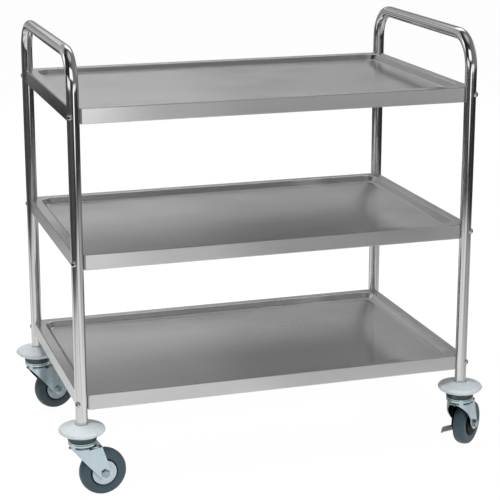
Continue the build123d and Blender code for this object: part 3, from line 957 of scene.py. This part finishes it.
# %% Pedal
def pedal():
    reach, tip, width = 28.0, 9.0, 14.0
    slope, tilt, tip_bend = radians(24), radians(38), radians(36)
    tip_corner, tip_fold = 5.0, 3.0
    begin()
    bpy.ops.mesh.primitive_cube_add(size=1, location=Vector((reach / 2, 0, -lever_plate / 2)) * mm,
                                    scale=(reach * mm, width * mm, lever_plate * mm))
    enter("pedal")
    pick("FACE", lambda p: p.x > reach - slack)
    bend_down = Vector((tip * cos(tip_bend), 0, -tip * sin(tip_bend))) * mm
    bpy.ops.mesh.extrude_region_move(TRANSFORM_OT_translate={"value": bend_down})
    pick("VERT", lambda p: p.x > reach + 1 and p.z < -tip * sin(tip_bend) - 1)
    square_end = Vector((-sin(tip_bend), 0, 1 - cos(tip_bend))) * lever_plate
    bpy.ops.transform.translate(value=square_end * mm)
    for side in (-1, 1):
        pick("EDGE", lambda p: p.x > reach + 1 and abs(p.y - side * width / 2) < slack)
        soften(tip_corner, corner_steps)
    pick("EDGE", lambda p: abs(p.x - reach) < slack and abs(p.z) < slack)
    soften(tip_fold, steps=4)
    piece = close_up()
    out = Vector((0, cos(slope), -sin(slope)))
    back = Vector((cos(tilt), sin(slope) * sin(tilt), cos(slope) * sin(tilt)))
    turn = Matrix((out, -back, back.cross(out))).transposed().to_4x4()
    root = Vector((pedal_root[0], lever_inner, pedal_root[1])) * mm
    settle(piece, Matrix.Translation(root) @ turn)
    bpy.ops.object.mode_set(mode="EDIT")
    bpy.ops.mesh.select_all(action="SELECT")
    bpy.ops.mesh.bisect(plane_co=(0, lever_inner * mm, 0), plane_no=(0, -1, 0), clear_outer=True,
                        use_fill=True)
    return close_up()

# %% [markdown]
# A boolean union makes one piece of the two arms, the shoe and the pedal, as a press would make them from
# one strip. From a little above the axle downwards it gets the worn finish, because feet rub there.

# %% Brake levers
def fuse(whole, part):
    modify(whole, "BOOLEAN", operation="UNION", object=part, solver="EXACT")
    bpy.data.objects.remove(part)


shoe_angle = radians(120)
shoe_r = 54.1
shoe_length, shoe_width, shoe_plate, shoe_corner = 25.5, 14, 3, 1.5
shoe_y = lever_inner + lever_plate - shoe_length / 2
shoe_place = Vector((trail + shoe_r * cos(shoe_angle), shoe_y, axle_z + shoe_r * sin(shoe_angle))) * mm
shoe_turn = Matrix.Rotation(pi / 2 - shoe_angle, 4, "Y") @ Matrix.Rotation(pi / 2, 4, "Z")
lever = arm("brake_lever_piece", pivot, elbow)
fuse(lever, arm("leg", elbow, pedal_root))
fuse(lever, rounded_plate("shoe", shoe_length, shoe_width, shoe_plate, shoe_corner,
                          Matrix.Translation(shoe_place) @ shoe_turn))
fuse(lever, pedal())
round_edges(lever, 0.35, segments=2, sharper_than=40)
smooth(lever, sharper_than=30)
worn_below = axle_z + 10
# The lever's black main finish is painted shade
two_finishes(lever, lever_painted_shade, worn_chromate, lambda p: p.y > lever_inner - slack and p.z < worn_below)
print("worn faces", sum(face.material_index == 1 for face in lever.data.polygons))
to_castors(lever, "pressed_brake_lever", "brake_lever", braked_corners)

# %% [markdown]
# The trolley stands in a white studio: what the camera sees of the room is white. That white must not
# light the object, so world and floor are that bright only for rays that show the room itself. A little
# plain paper stays in the floor's glow, and takes the trolley's shadow.

# %% World and floor
def shown(tree):
    # One for rays that show the room itself: from the camera, from metal or through glass
    path = add_node(tree, "ShaderNodeLightPath")
    mirrored = add_node(tree, "ShaderNodeMath", {0: path.outputs["Is Glossy Ray"],
                                                 1: path.outputs["Is Transmission Ray"]}, operation="MAXIMUM")
    return add_node(tree, "ShaderNodeMath", {0: path.outputs["Is Camera Ray"], 1: mirrored},
                    operation="MAXIMUM")


world = bpy.data.worlds.new("studio")
bpy.context.scene.world = world
world.use_nodes = True
sky = world.node_tree
sky.nodes.clear()
ambient = add_node(sky, "ShaderNodeBackground", {"Color": (1, 1, 1, 1), "Strength": 0.2})
white = add_node(sky, "ShaderNodeBackground", {"Color": (1, 1, 1, 1), "Strength": 1.0})
mixed = add_node(sky, "ShaderNodeMixShader", {0: shown(sky), 1: ambient, 2: white})
add_node(sky, "ShaderNodeOutputWorld", {"Surface": mixed})

begin()
bpy.ops.mesh.primitive_plane_add(size=30.0, location=(0, 0, 0))
floor = bpy.context.object
floor.name = "floor"
paper, tree, _ = new_finish("white_paper")
lit = add_node(tree, "ShaderNodeBsdfDiffuse", {"Color": (0.85, 0.85, 0.85, 1)})
shade = add_node(tree, "ShaderNodeBsdfDiffuse", {"Color": (0.08, 0.08, 0.08, 1)})
glow = add_node(tree, "ShaderNodeEmission", {"Color": (1, 1, 1, 1), "Strength": 0.965})
bright = add_node(tree, "ShaderNodeAddShader", {0: shade, 1: glow})
mixed = add_node(tree, "ShaderNodeMixShader", {0: shown(tree), 1: lit, 2: bright})
add_node(tree, "ShaderNodeOutputMaterial", {"Surface": mixed})
floor.data.materials.append(paper)
print("floor", floor.dimensions.x, "m wide")

# %% [markdown]
# Near the trolley, polished metal mirrors white too. Farther off a real studio is dark, and a dark floor
# draws the black streaks on the upper posts: a post mirrors the floor some three and a half times as far
# away as it is high there. So a second floor, just above the first, is shown to mirrors only. It is white
# near the trolley, shaded under it and dark far away.

# %% Floor of the room, seen in reflections only
room_r = 9.0
eased = {"interpolation_type": "SMOOTHSTEP"}


def only_mirrored(obj, material):
    # Only mirrors show these pieces. No rays are aimed at them, which leaves less noise in soft reflections.
    obj.data.materials.append(material)
    material.cycles.emission_sampling = "NONE"
    obj.visible_camera = False
    obj.visible_diffuse = False
    obj.visible_shadow = False


def fade(tree, place, middle, reach, start, end, first, last):
    # A value that goes from first to last between two ellipses round a point of the floor. They lie start and
    # end times as far out as reach says, in millimetres along X and Y.
    moved = add_node(tree, "ShaderNodeVectorMath", {0: place, 1: (*middle, 0)}, operation="SUBTRACT")
    scaled = add_node(tree, "ShaderNodeVectorMath", {0: moved, 1: (1 / reach[0], 1 / reach[1], 0)},
                      operation="MULTIPLY")
    away = add_node(tree, "ShaderNodeVectorMath", {0: scaled}, operation="LENGTH")
    return add_node(tree, "ShaderNodeMapRange", {"Value": away, "From Min": start, "From Max": end,
                                                 "To Min": first, "To Max": last}, **eased)


begin()
bpy.ops.mesh.primitive_circle_add(vertices=96, radius=room_r, fill_type="NGON", location=(0, 0, 2 * mm))
room_floor = bpy.context.object
room_floor.name = "room_floor"
dark, tree, place = new_finish("dark_room_floor")
right = add_node(tree, "ShaderNodeSeparateXYZ", {"Vector": place}).outputs["X"]
# White near the trolley, and darker to the right and far away
far_left = add_node(tree, "ShaderNodeMapRange", {"Value": right, "From Min": -700, "From Max": -2200,
                                                 "To Min": 0.02, "To Max": 0.1}, **eased)
far_right = add_node(tree, "ShaderNodeMapRange", {"Value": right, "From Min": 200, "From Max": 1500,
                                                  "To Min": 0, "To Max": 0.03}, **eased)
far = add_node(tree, "ShaderNodeMath", {0: far_left, 1: far_right}, operation="ADD")
near = add_node(tree, "ShaderNodeMapRange", {"Value": right, "From Min": 300, "From Max": 900,
                                             "To Min": 0.94, "To Max": 0.65}, **eased)
nearness = fade(tree, place, (300, 600), (700, 1000), 2.75, 3.4, 1, 0)
light = add_node(tree, "ShaderNodeMix", {"Factor": nearness, "A": far, "B": near}, data_type="FLOAT")
# Stands and cables all round draw darker streaks that point at the trolley
around = add_node(tree, "ShaderNodeVectorMath", {0: place}, operation="NORMALIZE")
noise = add_node(tree, "ShaderNodeTexNoise", {"Vector": around, "Scale": 2.6, "Detail": 1.0})
stands = add_node(tree, "ShaderNodeMapRange", {"Value": noise, "From Min": 0.35, "From Max": 0.65,
                                               "To Min": 0, "To Max": 1}, **eased)
depth = fade(tree, place, (0, 0), (1000, 1000), 0.2, 1.9, 0, 0.6)
streak = add_node(tree, "ShaderNodeMath", {0: depth, 1: stands}, operation="MULTIPLY")
between_streaks = add_node(tree, "ShaderNodeMath", {0: 1.0, 1: streak}, operation="SUBTRACT")
streaked = add_node(tree, "ShaderNodeMath", {0: light, 1: between_streaks}, operation="MULTIPLY")
# The key light stands in front on the left, so the trolley's shadow is painted here falling to the back
# right, and painted shade lies under the trolley
shadow = fade(tree, place, (400, 2000), (650, 1300), 0.7, 1.15, 0.05, 1)
under = fade(tree, place, (0, 0), (430, 270), 0.75, 1.25, 0.3, 1)
shaded = add_node(tree, "ShaderNodeMath", {0: shadow, 1: under}, operation="MULTIPLY")
strength = add_node(tree, "ShaderNodeMath", {0: streaked, 1: shaded}, operation="MULTIPLY")
glow = add_node(tree, "ShaderNodeEmission", {"Color": (1, 1, 1, 1), "Strength": strength})
add_node(tree, "ShaderNodeOutputMaterial", {"Surface": glow})
only_mirrored(room_floor, dark)
print("room floor nodes", len(tree.nodes))

# %% [markdown]
# A dome closes the room above that floor. It is dark, a little lighter on the right, and light at the
# top, where the ceiling is. Without it, metal would mirror the white world and lose its contrast.

# %% Dome of the room, seen in reflections only
begin()
bpy.ops.mesh.primitive_uv_sphere_add(segments=48, ring_count=24, radius=room_r)
room_dome = bpy.context.object
room_dome.name = "room_dome"
dark, tree, place = new_finish("dark_room")
where = add_node(tree, "ShaderNodeSeparateXYZ", {"Vector": place})
sides = add_node(tree, "ShaderNodeMapRange", {"Value": where.outputs["X"], "From Min": -4000,
                                              "From Max": 5000, "To Min": 0.03, "To Max": 0.22}, **eased)
ceiling = add_node(tree, "ShaderNodeMapRange", {"Value": where.outputs["Z"], "From Min": 8200,
                                                "From Max": 9000, "To Min": 0, "To Max": 0.5}, **eased)
strength = add_node(tree, "ShaderNodeMath", {0: sides, 1: ceiling}, operation="ADD")
glow = add_node(tree, "ShaderNodeEmission", {"Color": (1, 1, 1, 1), "Strength": strength})
add_node(tree, "ShaderNodeOutputMaterial", {"Surface": glow})
only_mirrored(room_dome, dark)
print("room dome", room_dome.dimensions.x, "m wide")

# %% [markdown]
# The lights of a studio stand in that dark as bright cards, and metal shows them as white streaks. A card
# is a plane that glows and fades out towards its edges, as the front of a softbox does. It hides what
# hangs behind it, so a dim strip before a bright card draws a darker band.

# %% Cards, seen in reflections only
card_half = 500  # across a card its own coordinates run from -500 to 500
upper_start, upper_full = -210, -110  # between these heights on a card its upper light takes over


def card(name, size, place, light, soft, upper_light=None):
    # A card faces the trolley's upright middle line and fades out over a soft share of its width and height
    begin()
    facing = (Vector((0, 0, place[2])) - Vector(place)).to_track_quat("Z", "Y").to_euler()
    bpy.ops.mesh.primitive_plane_add(size=1, location=place, rotation=facing)
    plane = bpy.context.object
    plane.name = name
    plane.scale = (*size, 1)
    material, tree, spot = new_finish(name)
    where = add_node(tree, "ShaderNodeSeparateXYZ", {"Vector": spot})
    fades = []
    for axis in ("X", "Y"):
        off_middle = add_node(tree, "ShaderNodeMath", {0: where.outputs[axis]}, operation="ABSOLUTE")
        fades.append(add_node(tree, "ShaderNodeMapRange", {
            "Value": off_middle, "From Min": card_half * (1 - soft), "From Max": card_half,
            "To Min": 1, "To Max": 0}, **eased))
    cover = add_node(tree, "ShaderNodeMath", {0: fades[0], 1: fades[1]}, operation="MULTIPLY")
    if upper_light is not None:
        light = add_node(tree, "ShaderNodeMapRange", {
            "Value": where.outputs["Y"], "From Min": upper_start, "From Max": upper_full,
            "To Min": light, "To Max": upper_light}, **eased)
    glow = add_node(tree, "ShaderNodeEmission", {"Color": (1, 1, 1, 1), "Strength": light})
    clear = add_node(tree, "ShaderNodeBsdfTransparent")
    mixed = add_node(tree, "ShaderNodeMixShader", {0: cover, 1: clear, 2: glow})
    add_node(tree, "ShaderNodeOutputMaterial", {"Surface": mixed})
    only_mirrored(plane, material)


# Behind: tray floors mirror a large card, their fronts higher up on it than their backs. The strips before
# it lighten or darken bands of what they mirror.
card("back_card", (5.4, 4.4), (-1.1, 3.2, 2.3), 0.5, 0.25, upper_light=0.4)
card("back_left_card", (2.6, 1.8), (-0.9, 3.15, 1.4), 0.45, 0.4)
card("back_strip", (5.0, 0.2), (0, 3.1, 1.64), 0.9, 0.5)
card("back_dark_strip", (5.0, 0.2), (0, 3.1, 1.42), 0.15, 0.5)
card("low_dark_strip", (5.0, 0.34), (0, 3.1, 1.08), 0.22, 0.5)
# High up and on the left: light for the handle bars, the rims and the left of the trays
card("high_back_card", (4.6, 3.4), (0.9, 3.1, 4.0), 1.7, 0.6)
card("far_left_card", (1.4, 1.6), (-3.0, 1.9, 2.0), 1.5, 0.3)
card("rim_card", (0.9, 1.3), (-1.8, 3.0, 1.55), 1.5, 0.4)
# In front: white ovals on the bends, then light along the skirts, from their left ends to the right
card("front_card", (2.35, 1.9), (-0.8, -2.04, 2.3), 1.4, 0.25)
card("front_left_card", (0.8, 0.7), (-0.14, -2.2, 0.5), 1.8, 0.7)
card("front_middle_card", (1.0, 0.6), (0.2, -2.3, 0.8), 1.2, 0.5)
card("front_right_card", (1.9, 0.6), (1.0, -2.4, 0.8), 1.2, 0.25)
# At the ends: pale streaks on the left and right of the posts
card("left_card", (2.2, 0.7), (-2.2, -0.85, 0.95), 1.2, 0.3)
card("right_card", (2.5, 1.6), (3.2, 0.6, 1.7), 0.5, 0.8)

# %% [markdown]
# Three softboxes light what isn't metal: tyres, bumpers and guards. They all point at the middle of the
# trolley. Metal doesn't mirror them, because the cards already stand for the lights that it shows.

# %% Lights
trolley_middle = Vector((0, 0, 0.45))


def lamp(name, place, size, power):
    light = bpy.data.lights.new(name, "AREA")
    light.shape = "RECTANGLE"
    light.size, light.size_y = size
    light.energy = power
    obj = bpy.data.objects.new(name, light)
    bpy.context.scene.collection.objects.link(obj)
    obj.location = place
    obj.rotation_euler = (trolley_middle - Vector(place)).to_track_quat("-Z", "Y").to_euler()
    obj.visible_glossy = False
    print(name, power, "W")


lamp("overhead_softbox", (-0.5, 0.0, 2.8), (2.0, 1.4), 65)
lamp("front_softbox", (0.4, -4.4, 1.9), (1.6, 1.2), 68)
lamp("back_softbox", (1.0, 3.6, 2.0), (2.0, 1.4), 35)

# %% [markdown]
# The camera stands in front on the left and looks down a little, with a long lens, so the trays taper
# only slightly. Its place was fitted to the posts, rims and handles. The Standard view shows colours as
# they are written.

# %% Camera
camera_data = bpy.data.cameras.new("camera")
camera_data.lens = 114.8
camera_data.sensor_width = 36.0
camera_data.shift_y = -0.04
camera_heading, camera_dip = radians(17.47), radians(14.71)
camera = bpy.data.objects.new("camera", camera_data)
bpy.context.scene.collection.objects.link(camera)
camera.location = (-1.0111, -3.2739, 1.3706)
camera.rotation_euler = (pi / 2 - camera_dip, 0, -camera_heading)
bpy.context.scene.camera = camera
bpy.context.scene.view_settings.view_transform = "Standard"
print("camera", round(camera.location.length, 2), "m from the origin, lens", camera_data.lens, "mm")
